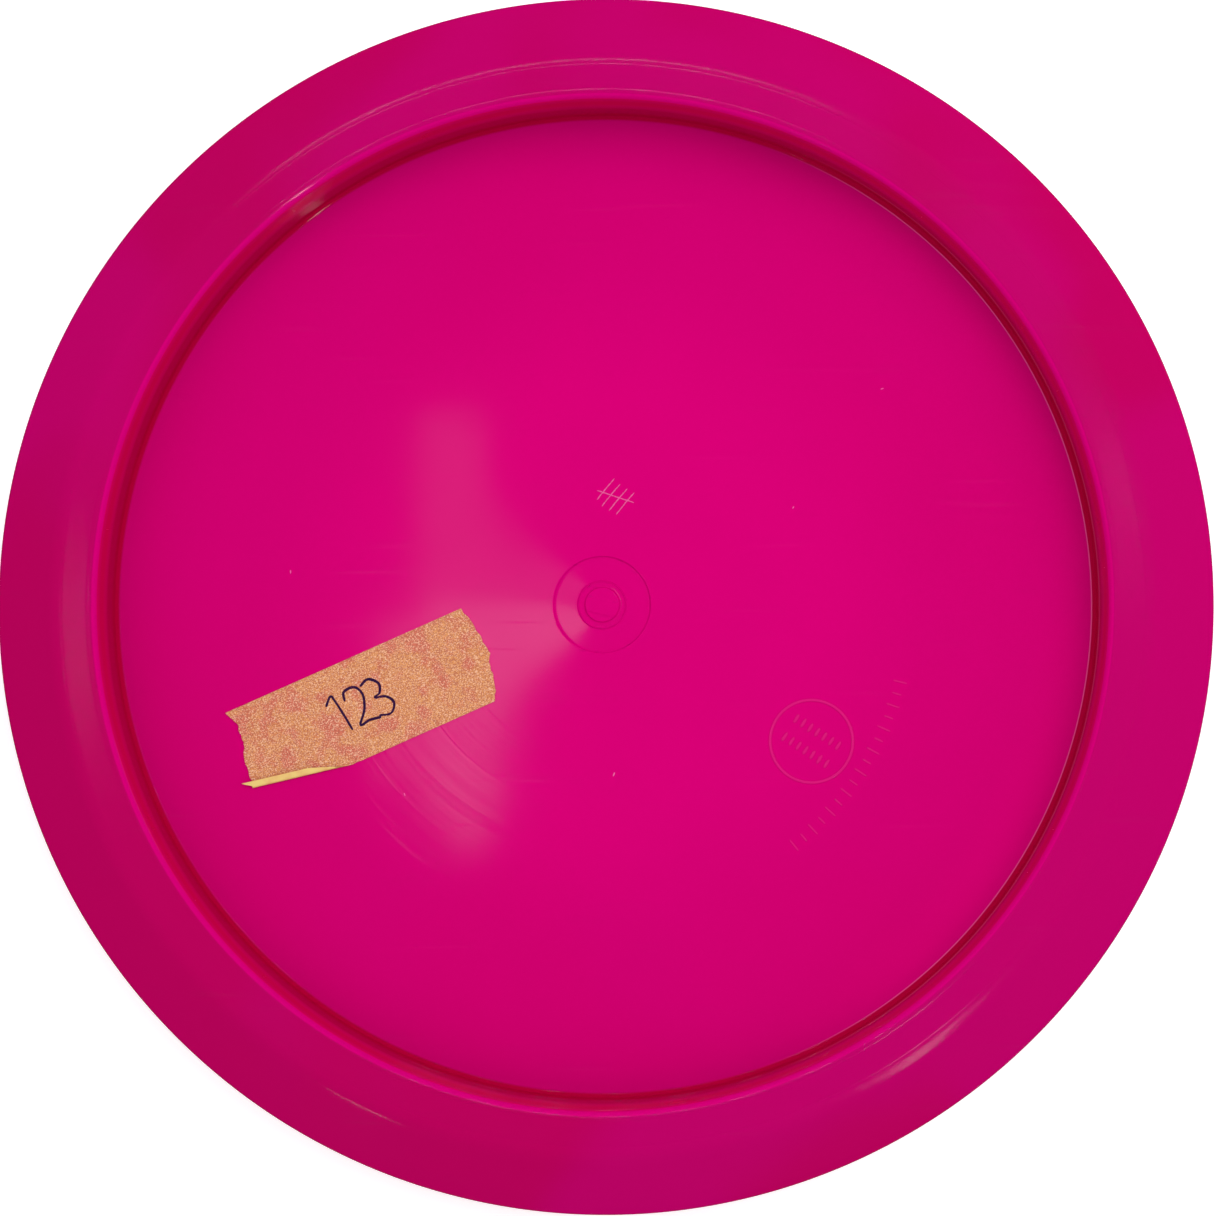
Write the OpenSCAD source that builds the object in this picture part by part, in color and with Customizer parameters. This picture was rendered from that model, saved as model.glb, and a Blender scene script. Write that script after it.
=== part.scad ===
// Golf disc, lying on its flight plate with the open underside up.
// Millimetres. The origin is the centre of the plate's outer face, and +Z points out of the hollow underside.

/* [Disc] */
// Diameter over the nose of the rim
disc_d = 211; // [208:0.5:215]
// Overall height, from the plate's outer face to the bottom of the rim
disc_h = 17.5; // [16.5:0.5:19]
// Diameter across the inside of the rim, where its wall meets the bottom plane
lip_d = 173.6; // [171:0.2:176]
// Depth of the hollow beside the rim's wall
hollow_depth = 12; // [11.5:0.5:13]
// Thickness of the flight plate
plate_t = 1.9; // [1.8:0.1:2.4]
// Radius of the flat middle of the flight plate
flat_r = 25; // [15:1:50]

/* [Rim] */
// Height of the nose above the plate's outer face
nose_z = 11.4; // [10.5:0.1:12]
// Radius of the rounded nose
nose_round = 1.8; // [1.6:0.1:2.4]
// Radius of the rim's bottom edge, where the flat land turns into the bevel
crest_r = 93.2; // [92:0.2:95]
// Rounding of that bottom edge
crest_round = 6; // [3:1:8]
// Rounding of the lip where fingers grip
lip_round = 1.25; // [1:0.25:2.5]
// Draft of the rim's inner wall, in degrees
wall_draft = 3; // [1:0.5:5]
// Fillet between the inner wall and the plate
foot_round = 0.8; // [0.5:0.1:1.2]

/* [Gate] */
// Radius of the shallow round recess that the mould insert leaves
gate_r = 8.6; // [7:0.1:10]
// Depth of that recess at its edge
gate_depth = 0.3; // [0.1:0.05:0.5]
// Radius of the ring round the cut-off gate
gate_ring_r = 4.2; // [3.8:0.1:5]
// Radius of the cut-off gate
gate_stub_r = 3; // [2:0.1:3.2]

/* [Marks] */
// Height of the raised marks on the underside
mark_h = 0.15; // [0.1:0.05:0.3]
// Radius of the ring emblem
emblem_r = 7.5; // [6:0.5:8]
// Number of fine ticks beside the emblem
tick_count = 17; // [9:2:21]
// Depth of the hand-scratched tally
scratch_depth = 0.15; // [0.1:0.05:0.3]

/* [Stamp] */
// Thickness of the hot-stamped foil, pressed flush into the plate's outer face
foil_t = 0.05; // [0.04:0.01:0.1]
// Number of foil dashes in the arc
dash_count = 11; // [7:2:13]

/* [Tape] */
// Length of the strip of masking tape
tape_l = 45.6; // [40:0.2:48]
// Width of the tape
tape_w = 17.5; // [15:0.5:19]
// Thickness of the tape's adhesive
glue_t = 0.05; // [0.04:0.01:0.1]
// Thickness of the tape's crepe paper
paper_t = 0.12; // [0.1:0.01:0.2]
// Thickness of the pen line
ink_t = 0.04; // [0.03:0.01:0.06]

/* [Hidden] */

// Outline resolution: facets round the axis, steps along each arc of the profile, and steps along the dome
turn_fn = 180;
arc_steps = 10;
dome_steps = 10;

// Places on the plate: [x, y] or a polar angle, seen with the underside up
tape_at = [-42.6, -18];
tape_turn = 24;
number_at = [-43.2, -17.9];
number_size = 8;
tally_at = [2.3, 19.1];
tally_turn = 53;
emblem_at = [36.9, -24.1];
emblem_turn = -33;
tick_r = 54.2;
tick_mid = -33;
tick_step = 2.3;
stamp_mid = 144;
dash_r = 53;
dash_step = 5;

// Along the tape, where its folded-over lower edge begins
fold_from = -4;

// Depth by which raised marks are rooted in the plate, and clearance past a face for cutting
root = 0.3;
past = 1;

// Plate dome: an arc that leaves the flat middle tangentially and reaches the rim's wall
nose_x = disc_d / 2 - nose_round;
foot_r = lip_d / 2 - hollow_depth * tan(wall_draft);
dome_rise = disc_h - hollow_depth - plate_t;
dome_span = foot_r - flat_r;
dome_arc = (dome_span * dome_span + dome_rise * dome_rise) / (2 * dome_rise);
dome_slope = asin(dome_span / dome_arc);

// Shoulder: an arc tangent to the dome at the wall and to the nose circle
shoulder_out = [-sin(dome_slope), cos(dome_slope)];
shoulder_d = [foot_r - nose_x, dome_rise - nose_z];
shoulder_arc = (nose_round * nose_round - shoulder_d * shoulder_d) / (2 * (shoulder_d * shoulder_out + nose_round));
shoulder_c = [foot_r, dome_rise] + shoulder_arc * shoulder_out;
shoulder_end = atan2(nose_z - shoulder_c[1], nose_x - shoulder_c[0]);

// Bevel: the line tangent to the rim's bottom edge circle and to the nose circle
crest_c = [crest_r, disc_h - crest_round];
bevel_v = [nose_x, nose_z] - crest_c;
bevel_turn = atan2(bevel_v[1], bevel_v[0]) + asin((nose_round - crest_round) / norm(bevel_v)) + 90;

// Lip and foot: circles tangent to the drafted wall, which starts at the foot and runs up along wall_up
foot = [foot_r, disc_h - hollow_depth];
wall_up = [sin(wall_draft), cos(wall_draft)];
wall_out = [cos(wall_draft), -sin(wall_draft)];
foot_turn = dome_slope + wall_draft;
foot_c = foot - foot_round * wall_out + foot_round * (1 - sin(foot_turn)) / cos(foot_turn) * wall_up;
lip_run = (hollow_depth - lip_round * (1 - sin(wall_draft))) / cos(wall_draft);
lip_c = foot + lip_run * wall_up + lip_round * wall_out;

function arc(c, r, from, to, steps = arc_steps) =
    [for (i = [0:steps]) c + r * [cos(from + (to - from) * i / steps), sin(from + (to - from) * i / steps)]];

// Height of the plate's outer face at radius r
function dome(r) = r <= flat_r ? 0 : dome_arc - sqrt(dome_arc * dome_arc - (r - flat_r) * (r - flat_r));

// The dome's points from one step to another, lifted by h: step 0 is the edge of the flat middle
function dome_line(from, to, h) =
    [for (i = [from:(from < to ? 1 : -1):to]) let (r = flat_r + dome_span * i / dome_steps) [r, dome(r) + h]];

// Half of the disc's section, walked from the middle of the outer face round the nose and back along the underside
function disc_section() = concat(
    [[0, 0]],
    dome_line(0, dome_steps, 0),
    arc(shoulder_c, shoulder_arc, dome_slope - 90, shoulder_end),
    arc([nose_x, nose_z], nose_round, shoulder_end, bevel_turn),
    arc(crest_c, crest_round, bevel_turn, 90, 4),
    arc(lip_c, lip_round, 90, 180 - wall_draft),
    arc(foot_c, foot_round, -wall_draft, dome_slope - 90, 6),
    dome_line(dome_steps - 1, 0, plate_t),
    gate_section()
);

// The underside's middle: recess, floor rising to the ring, groove and cut-off gate
function gate_section() = [
    [gate_r, plate_t],
    [gate_r - 0.2, plate_t - gate_depth],
    [gate_ring_r, plate_t - 0.05],
    [gate_ring_r - 0.2, plate_t - gate_depth],
    [gate_stub_r + 0.2, plate_t - gate_depth],
    [gate_stub_r, plate_t + 0.1],
    [0, plate_t + 0.1]
];

module bar(from, to, w) {
    along = to - from;
    translate(from) rotate(atan2(along[1], along[0])) translate([0, -w / 2]) square([norm(along), w]);
}

module ring(r, w) {
    difference() {
        circle(r, $fn = 96);
        circle(r - w, $fn = 96);
    }
}

// A round pen stroke: part of a ring of mean radius r, from one angle to another (less than 270 degrees)
module bow(c, r, w, from, to) {
    reach = 2 * r;
    mid = (from + to) / 2;
    translate(c) intersection() {
        ring(r + w / 2, w);
        polygon([[0, 0], reach * [cos(from), sin(from)], reach * [cos(mid), sin(mid)], reach * [cos(to), sin(to)]]);
    }
}

// Plain ring emblem with two rows of short bars
module emblem_2d() {
    bar_w = 0.5;
    ring(emblem_r, bar_w);
    for (row = [0:1], i = [-3:3])
        translate([i * 1.3, row * 4 - 3.6]) square([bar_w, 3], center = true);
    translate([0, 3.6]) circle(1.1, $fn = 48);
}

// Fine ticks along an arc, every second one shorter
module ticks_2d() {
    for (i = [0:tick_count - 1])
        rotate(tick_mid + (i - (tick_count - 1) / 2) * tick_step)
            translate([tick_r, 0]) square([2.6 - 0.8 * (i % 2), 0.4], center = true);
}

// Three chevrons in a row along the stamp's middle radius
module chevrons_2d() {
    rotate(stamp_mid) for (i = [0:2])
        translate([29 + 7 * i, 0]) polygon([[0, 0], [-4, 6], [0, 6], [4, 0], [0, -6], [-4, -6]]);
}

// Foil dashes along an arc outside the chevrons
module dashes_2d() {
    for (i = [0:dash_count - 1])
        rotate(stamp_mid + (i - (dash_count - 1) / 2) * dash_step)
            translate([dash_r, 0]) square([2, 3.2 - 1.4 * (i % 2)], center = true);
}

// Four short strokes and a crossing one, as scratched by hand with a point
module tally_2d() {
    stroke_w = 0.25;
    for (i = [-1.5:1.5])
        bar([i * 2.2, -2.6], [i * 2.2 + 0.5, 2.6], stroke_w);
    bar([-5, -1.6], [4.8, 1.9], stroke_w);
}

// A layer that follows the dome, from height low to height high above the plate's outer face
module layer(low, high) {
    reach = dome_steps - 1;
    rotate_extrude($fn = turn_fn) polygon(concat(
        [[0, low]],
        dome_line(0, reach, low),
        dome_line(reach, 0, high),
        [[0, high]]
    ));
}

// Flat shapes laid on the dome as a layer
module laid(low, high) {
    intersection() {
        layer(low, high);
        translate([0, 0, low - past]) linear_extrude(disc_h) children();
    }
}

module placed(at, turn) {
    translate(at) rotate(turn) children();
}

module disc_body() {
    color("#c9006b") difference() {
        union() {
            rotate_extrude($fn = turn_fn) polygon(disc_section());
            laid(plate_t - root, plate_t + mark_h) {
                placed(emblem_at, emblem_turn) emblem_2d();
                ticks_2d();
            }
        }
        laid(plate_t - scratch_depth, plate_t + past) placed(tally_at, tally_turn) tally_2d();
        laid(-past, foil_t) {
            chevrons_2d();
            dashes_2d();
        }
    }
}

module stamp_chevrons() {
    color("#c8c8cc") laid(0, foil_t) chevrons_2d();
}

module stamp_dashes() {
    color("#303036") laid(0, foil_t) dashes_2d();
}

// Torn strip of tape, seen from above: straight long sides, ragged ends, lower edge folded over towards the left
module tape_2d() {
    half = tape_l / 2;
    side = tape_w / 2;
    polygon([
        [-half, side], [-half + 1.2, side / 2], [-half, side / 8], [-half - 0.4, -0.4 * side],
        [-half - 2.2, -0.42 * side], [-half - 0.7, -0.58 * side], [fold_from, -side], [half - 1, -side],
        [half + 0.5, -side / 2], [half + 1.6, -side / 12], [half + 1, 0.6 * side], [half, side]
    ]);
}

// The flap that is folded over, sticky side up
module flap_2d() {
    half = tape_l / 2;
    side = tape_w / 2;
    polygon([
        [fold_from, -side], [fold_from - 3.4, -0.85 * side], [-half + 6.4, -0.57 * side],
        [-half - 0.3, -0.41 * side], [-half - 2.2, -0.42 * side], [-half - 0.7, -0.58 * side]
    ]);
}

// Part of the tape, from height low to height high above the plate's underside
module tape_layer(low, high) {
    laid(plate_t + low, plate_t + high) placed(tape_at, tape_turn) children();
}

module tape_adhesive() {
    color("#e3c878") {
        tape_layer(0, glue_t) tape_2d();
        tape_layer(glue_t + 2 * paper_t, 2 * (glue_t + paper_t)) flap_2d();
    }
}

module tape_backing() {
    color("#d9965a") {
        tape_layer(glue_t, glue_t + paper_t) tape_2d();
        tape_layer(glue_t + paper_t / 2, glue_t + 2 * paper_t) flap_2d();
    }
}

module digit_1(w) {
    bar([0, -0.5], [0, 0.5], w);
    bar([-0.22, 0.26], [0, 0.5], w);
}

module digit_2(w) {
    bow([0, 0.24], 0.24, w, -40, 170);
    bar([0.19, 0.09], [-0.26, -0.46], w);
    bar([-0.28, -0.46], [0.3, -0.46], w);
}

module digit_3(w) {
    bow([0, 0.25], 0.22, w, -90, 150);
    bow([0, -0.22], 0.25, w, -150, 90);
}

module pen_number() {
    line_w = 0.075;
    pitch = 0.72;
    paper_top = plate_t + glue_t + paper_t;
    color("#3a1a4a") laid(paper_top, paper_top + ink_t) placed(number_at, tape_turn) scale(number_size) {
        translate([-pitch, 0]) digit_1(line_w);
        digit_2(line_w);
        translate([pitch, 0]) digit_3(line_w);
    }
}

disc_body();
stamp_chevrons();
stamp_dashes();
tape_adhesive();
tape_backing();
pen_number();
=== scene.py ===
"""A golf disc lying on its outer face, open side up, with a strip of masking tape stuck inside it.

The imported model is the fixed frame. The shell, the moulded marks, the tape, the pen strokes and the
scratches are surfaces worked out as whole arrays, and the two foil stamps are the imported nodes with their
own finishes.
"""
import math

import bpy
import numpy as np
from bpy.props import FloatProperty, FloatVectorProperty, IntProperty, PointerProperty
from mathutils import Matrix, Vector


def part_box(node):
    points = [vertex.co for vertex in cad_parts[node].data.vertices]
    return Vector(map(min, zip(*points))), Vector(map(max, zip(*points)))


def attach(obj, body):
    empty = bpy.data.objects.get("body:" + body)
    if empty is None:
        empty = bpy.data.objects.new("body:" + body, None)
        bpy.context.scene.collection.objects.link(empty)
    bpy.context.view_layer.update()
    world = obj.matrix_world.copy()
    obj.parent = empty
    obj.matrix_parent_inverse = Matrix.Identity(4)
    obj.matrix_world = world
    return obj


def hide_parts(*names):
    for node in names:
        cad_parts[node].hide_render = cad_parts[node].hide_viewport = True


bl_info = {
    "name": "Golf disc",
    "version": (1, 0, 0),
    "blender": (4, 5, 0),
    "location": "3D view > Sidebar > Golf disc",
    "description": "Builds a golf disc with its marks and tape round the packed model",
    "category": "Add Mesh",
}

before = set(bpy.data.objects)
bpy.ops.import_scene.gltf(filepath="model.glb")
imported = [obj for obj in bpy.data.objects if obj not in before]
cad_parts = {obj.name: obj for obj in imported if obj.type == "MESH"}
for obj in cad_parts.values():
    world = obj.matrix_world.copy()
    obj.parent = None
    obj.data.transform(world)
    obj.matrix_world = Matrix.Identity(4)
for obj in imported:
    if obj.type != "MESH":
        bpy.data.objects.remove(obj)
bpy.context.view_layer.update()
body_low, body_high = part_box("disc_body")
MM = 0.001
ROOT = "root"
# How far the foil stamps stand out of the outer face
FOIL_PROUD = 0.012 * MM
# The low mound round the gate: how far it reaches, and its slope at the axis
MOUND_REACH = 34 * MM
MOUND_SLOPE = 0.02
# The middle of the spot where the mould's turning marks show
TOOL_MARKS = (-26 * MM, -31 * MM, 0)
# The two lines where plates of the mould met: width and depth of the groove
SEAM_W = 0.12 * MM
SEAM_DEPTH = 0.015 * MM
# The cut stub in the gate: direction across its cut, and how far the cut lowers it
STUB_WAY = (0.238, 0.971)
STUB_CUT = 0.12 * MM
# Tints that drift over the thick rim, of the shade on the plate, and of scraped plastic
RED_HAZE = (0.50, 0.0, 0.085)
VIOLET_HAZE = (0.56, 0.0, 0.165)
CLOUD_SHADE = (0.42, 0.0, 0.10)
SCRAPED = (0.95, 0.30, 0.62)
# The strip of tape: points along and across, the line it folds over in millimetres, and the flap's width
STRIP_GRID = (320, 72)
FOLD_LINE = ((-4.0, -8.75), (-23.4, -5.1))
FLAP_WIDTH = 1.9
# The torn ends of the tape, in millimetres along it, at shares of its width
LEFT_SHARES = (0, 0.06, 0.2, 0.45, 0.62, 0.85, 1)
LEFT_END = (-25.2, -23.5, -23.1, -22.7, -21.6, -21.6, -22.6)
RIGHT_SHARES = (0, 0.1, 0.25, 0.38, 0.47, 0.7, 0.8, 1)
RIGHT_END = (21.9, 22.9, 23.5, 23.8, 24.5, 24.1, 23.9, 22.9)
# The strokes of the written digits, each in a box 1 high
ONE = ((0.06, 0.80), (0.30, 1.00), (0.34, 0.90), (0.33, 0.45), (0.30, 0.00))
TWO = (
    *((0.02, 0.74), (0.14, 0.97), (0.42, 0.98), (0.50, 0.74)),
    *((0.33, 0.38), (0.02, 0.05), (0.28, 0.07), (0.58, 0.02)),
)
THREE = (
    *((0.03, 0.93), (0.30, 1.02), (0.47, 0.82), (0.36, 0.60), (0.20, 0.53)),
    *((0.44, 0.44), (0.52, 0.22), (0.30, 0.01), (0.02, 0.08)),
)
# Nicks in the plate: x, y, turn in radians and half length, in millimetres
NICKS = (
    (-55.4, 5.9, 1.6, 0.35),
    (49.4, 37.9, 0.3, 0.3),
    (33.8, 17.1, 0.9, 0.25),
    (2.1, -30.0, 1.2, 0.4),
    (-35.0, -33.6, 1.9, 0.3),
)


# Sizes and colours --------------------------------------------------------------------------------


def length(name, description, millimetres):
    """A length property whose default is given in millimetres."""
    return FloatProperty(name=name, description=description, default=millimetres * MM, unit="LENGTH")


def angle(name, description, degrees):
    """An angle property whose default is given in degrees."""
    return FloatProperty(name=name, description=description, default=math.radians(degrees), unit="ROTATION")


def colour(name, description, rgb):
    """A linear colour property."""
    return FloatVectorProperty(
        name=name, description=description, default=rgb, size=3, subtype="COLOR", min=0, max=1
    )


def factor(name, description, value):
    """A plain number property."""
    return FloatProperty(name=name, description=description, default=value)


class DiscSizes(bpy.types.PropertyGroup):
    disc_d: FloatProperty(
        name="Disc diameter",
        description="Largest diameter, at the nose of the rim",
        default=body_high.x - body_low.x,
        unit="LENGTH",
    )
    disc_h: FloatProperty(
        name="Disc height",
        description="From the outer face to the crest of the rim",
        default=body_high.z,
        unit="LENGTH",
    )
    lip_d: length("Lip diameter", "Inner diameter of the rim at the lip", 173.6)
    hollow_depth: length("Hollow depth", "From the crest down to the foot of the inner wall", 12)
    plate_t: length("Plate thickness", "Thickness of the flight plate", 1.9)
    flat_r: length("Flat radius", "Radius of the flat middle of the plate", 25)
    dome_rise: length("Dome rise", "How far the plate has risen at the foot of the wall", 3.6)
    nose_z: length("Nose height", "Height of the centre of the nose", 11.4)
    nose_round: length("Nose round", "Radius of the nose", 1.8)
    crest_r: length("Crest radius", "Distance of the crest from the axis", 93.2)
    crest_round: length("Crest round", "Radius that blends the bevel into the crest", 6)
    lip_round: length("Lip round", "Radius of the lip's inner edge", 1.25)
    foot_round: length("Foot round", "Radius where the plate meets the wall", 0.8)
    wall_draft: angle("Wall draft", "Lean of the inner wall", 3)
    gate_r: length("Gate radius", "Radius of the round gate mark", 8.6)
    gate_depth: length("Gate depth", "Depth of the gate mark", 0.3)
    gate_ring_r: length("Gate ring radius", "Radius of the ring inside the gate mark", 4.2)
    gate_stub_r: length("Gate stub radius", "Radius of the cut stub in the middle", 3)
    segments: IntProperty(name="Segments", description="Faces round the disc", default=512)


class MarkSizes(bpy.types.PropertyGroup):
    mark_h: length("Mark height", "Height of the moulded marks", 0.15)
    emblem_r: length("Emblem radius", "Radius of the emblem's ring", 7.25)
    emblem_x: length("Emblem X", "Place of the emblem across", 36.9)
    emblem_y: length("Emblem Y", "Place of the emblem along", -24.1)
    emblem_turn: angle("Emblem turn", "Turn of the emblem", -33)
    tick_r: length("Tick radius", "Radius of the row of ticks", 54.2)
    tick_mid: angle("Tick middle", "Angle of the middle tick", -33)
    tick_step: angle("Tick step", "Angle between ticks", 2.3)
    tick_count: IntProperty(name="Tick count", description="Number of ticks", default=17)
    tally_x: length("Tally X", "Place of the scratched tally across", 2.3)
    tally_y: length("Tally Y", "Place of the scratched tally along", 19.1)
    tally_turn: angle("Tally turn", "Turn of the scratched tally", 53)


class TapeSizes(bpy.types.PropertyGroup):
    tape_w: length("Tape width", "Width of the strip", 17.5)
    glue_t: length("Glue thickness", "Thickness of the adhesive", 0.05)
    paper_t: length("Paper thickness", "Thickness of the crepe paper", 0.12)
    tape_x: length("Tape X", "Place of the strip's middle across", -42.6)
    tape_y: length("Tape Y", "Place of the strip's middle along", -18)
    tape_turn: angle("Tape turn", "Turn of the strip", 24)
    bend_r: length("Bend radius", "Radius of the fold along the turned-over edge", 0.3)
    fold_turn: angle("Fold turn", "How far the edge is turned over", 163)
    number_h: length("Number height", "Height of the written digits", 7.1)
    stroke_w: length("Stroke width", "Width of a pen stroke", 0.5)


class Finishes(bpy.types.PropertyGroup):
    thin_plastic: colour("Thin plastic", "Colour of the thin plate over a pale surface", (0.62, 0.0, 0.162))
    # Painted light: the plate beside the wall is lighter on the right half, against the shadow the key lamp
    # casts there.
    flush_plastic: colour("Plate edge plastic", "Colour of the plate beside the wall", (0.69, 0.0, 0.178))
    # Painted highlight: a pale line along the foot of the inner wall, on the right half only.
    foot_highlight_colour: colour("Foot line plastic", "Colour of the line at the wall's foot", (0.78, 0.09, 0.30))
    thick_plastic: colour("Thick plastic", "Colour of the thick rim", (0.41, 0.0, 0.094))
    # Partly the deep rim's colour, partly painted shade: the lower inner wall, down to the foot, is darker.
    lower_wall_deep_and_shaded: colour("Wall plastic", "Colour of the inner wall, over the deep rim", (0.42, 0.0, 0.032))
    # Painted light: the upper half of the inner wall is lighter, as if lit through the plastic.
    upper_wall_light_colour: colour("Upper wall plastic", "Colour of the wall's upper half", (0.58, 0.0, 0.05))
    # Painted glow: the lip's inner edge shows a brighter red.
    lip_edge_glow_colour: colour("Lip edge plastic", "Colour of the lip's inner edge", (0.62, 0.0, 0.08))
    # Painted highlight: the narrow band along the lip is lighter.
    lip_band_highlight_colour: colour("Lip plastic", "Colour of the narrow band along the lip", (0.60, 0.0, 0.165))
    paper: colour("Crepe paper", "Colour of the tape's paper", (0.70, 0.29, 0.10))
    paper_fleck: colour("Paper fleck", "Colour of the paler fibres", (0.90, 0.56, 0.38))
    paper_stain: colour("Paper stain", "Colour of the darker speckle", (0.40, 0.09, 0.055))
    paper_patch: colour("Paper patch", "Colour of the reddish patches", (0.62, 0.12, 0.09))
    glue: colour("Glue", "Colour of the adhesive", (0.84, 0.62, 0.19))
    ink: colour("Ink", "Colour of the pen", (0.022, 0.001, 0.045))
    silver: colour("Silver foil", "Colour of the chevrons", (0.78, 0.79, 0.80))
    dark_foil: colour("Dark foil", "Colour of the dashes", (0.03, 0.012, 0.05))
    floor: colour("Floor", "Colour of the floor", (0.92, 0.92, 0.92))


class StageSettings(bpy.types.PropertyGroup):
    camera_at: FloatVectorProperty(
        name="Camera place",
        description="Where the camera stands",
        default=(0.0227, -0.013, 0.455),
        size=3,
        subtype="XYZ",
        unit="LENGTH",
    )
    camera_aim: FloatVectorProperty(
        name="Camera aim",
        description="The point that the camera looks at",
        default=(0.00076, -0.00053, 0),
        size=3,
        subtype="XYZ",
        unit="LENGTH",
    )
    lens: factor("Lens", "Focal length in millimetres on a 36 mm sensor", 75.81)
    sky: factor("Sky", "Strength of the even light from all round", 0.865)
    key: factor("Key", "Radiance of the large soft lamp", 1.6)
    gleam: factor("Gleam", "Strength of the lamps that only show as reflections", 1.0)
    floor_size: length("Floor size", "Side of the square floor", 4000)


class DiscSettings(bpy.types.PropertyGroup):
    disc: PointerProperty(type=DiscSizes)
    marks: PointerProperty(type=MarkSizes)
    tape: PointerProperty(type=TapeSizes)
    finish: PointerProperty(type=Finishes)
    stage: PointerProperty(type=StageSettings)


def settings():
    """The scene's own settings of this add-on."""
    return bpy.context.scene.golf_disc


# Surfaces -----------------------------------------------------------------------------------------


def piece(name, points, faces, material, slot, smooth_angle=40):
    """Makes one object of points and lists of face arrays, which rides on the body with its finish."""
    mesh = bpy.data.meshes.new(name)
    mesh.from_pydata(points.tolist(), [], [face for array in faces for face in array.tolist()])
    mesh.shade_smooth()
    mesh.set_sharp_from_angle(angle=math.radians(smooth_angle))
    mesh.materials.append(material)
    made = bpy.data.objects.new(name, mesh)
    bpy.context.scene.collection.objects.link(made)
    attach(made, ROOT)
    return made


def grid_faces(rows, columns, wrap_rows=False, wrap_columns=False):
    """Quads between neighbours of a rows by columns grid of points, numbered row by row."""
    row = np.arange(rows if wrap_rows else rows - 1)[:, None]
    column = np.arange(columns if wrap_columns else columns - 1)[None, :]
    next_row, next_column = (row + 1) % rows, (column + 1) % columns
    corners = (
        row * columns + column,
        row * columns + next_column,
        next_row * columns + next_column,
        next_row * columns + column,
    )
    return np.stack(np.broadcast_arrays(*corners), axis=-1).reshape(-1, 4)


def fan_faces(pole, ring, inward):
    """Triangles from a pole to each side of a closed ring of point numbers."""
    after = np.roll(ring, -1)
    pole = np.full_like(ring, pole)
    return np.stack([pole, after, ring] if inward else [pole, ring, after], axis=1)


def revolve(profile, segments):
    """Carries a profile of (r, z) points round +Z. Its end points lie on the axis and become poles."""
    turn = np.arange(segments) * math.tau / segments
    r, z = profile[1:-1, 0, None], profile[1:-1, 1, None]
    rings = np.stack(np.broadcast_arrays(r * np.cos(turn), r * np.sin(turn), z), axis=-1).reshape(-1, 3)
    rows = len(profile) - 2
    poles = np.array([[0, 0, profile[0, 1]], [0, 0, profile[-1, 1]]])
    last = (rows - 1) * segments
    faces = [
        grid_faces(rows, segments, wrap_columns=True),
        fan_faces(last + segments, np.arange(segments), True),
        fan_faces(last + segments + 1, last + np.arange(segments), False),
    ]
    return np.concatenate([rings, poles]), faces


def arc(centre, radius, start, end, count):
    """Points on a circle round a centre, from the start to the end angle."""
    turn = np.linspace(start, end, count)
    return np.asarray(centre) + radius * np.stack([np.cos(turn), np.sin(turn)], axis=1)


def straight(start, end, count):
    """Evenly spaced points between two points, both left out."""
    share = np.linspace(0, 1, count + 2)[1:-1, None]
    return np.asarray(start) * (1 - share) + np.asarray(end) * share


def foot_radius(disc):
    """Radius of the foot of the inner wall: the lip's radius less the wall's lean over its height."""
    return disc.lip_d / 2 - (disc.hollow_depth - disc.lip_round) * math.tan(disc.wall_draft)


def dome(disc, r):
    """Rise of the outer face at radius r: flat, then a circle's arc that reaches dome_rise at the foot."""
    run = foot_radius(disc) - disc.flat_r
    radius = (run**2 + disc.dome_rise**2) / (2 * disc.dome_rise)
    out = np.clip(np.asarray(r) - disc.flat_r, 0, None)
    return radius - np.sqrt(radius**2 - out**2)


def mound(disc, r):
    """Rise of the inner face round the gate. Its slope fades as (1 - r / reach) squared."""
    reach = MOUND_REACH
    return MOUND_SLOPE * reach / 3 * np.clip(1 - np.maximum(r, disc.gate_ring_r) / reach, 0, 1) ** 3


def inner_rise(disc, r):
    """Rise of the inner face at radius r: a circle's arc from the axis to the wall, and the mound."""
    run = foot_radius(disc)
    radius = (run**2 + disc.dome_rise**2) / (2 * disc.dome_rise)
    return radius - np.sqrt(radius**2 - np.square(r)) + mound(disc, r)


def plate_top(disc, x, y):
    """Height of the plate's inner face at a place."""
    return disc.plate_t + inner_rise(disc, np.hypot(x, y))


def dome_line(disc, start, end, lift, count):
    """Points along the dome between two radii, lifted by a thickness."""
    r = np.linspace(start, end, count + 2)[1:-1]
    return np.stack([r, dome(disc, r) + lift], axis=1)


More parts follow.
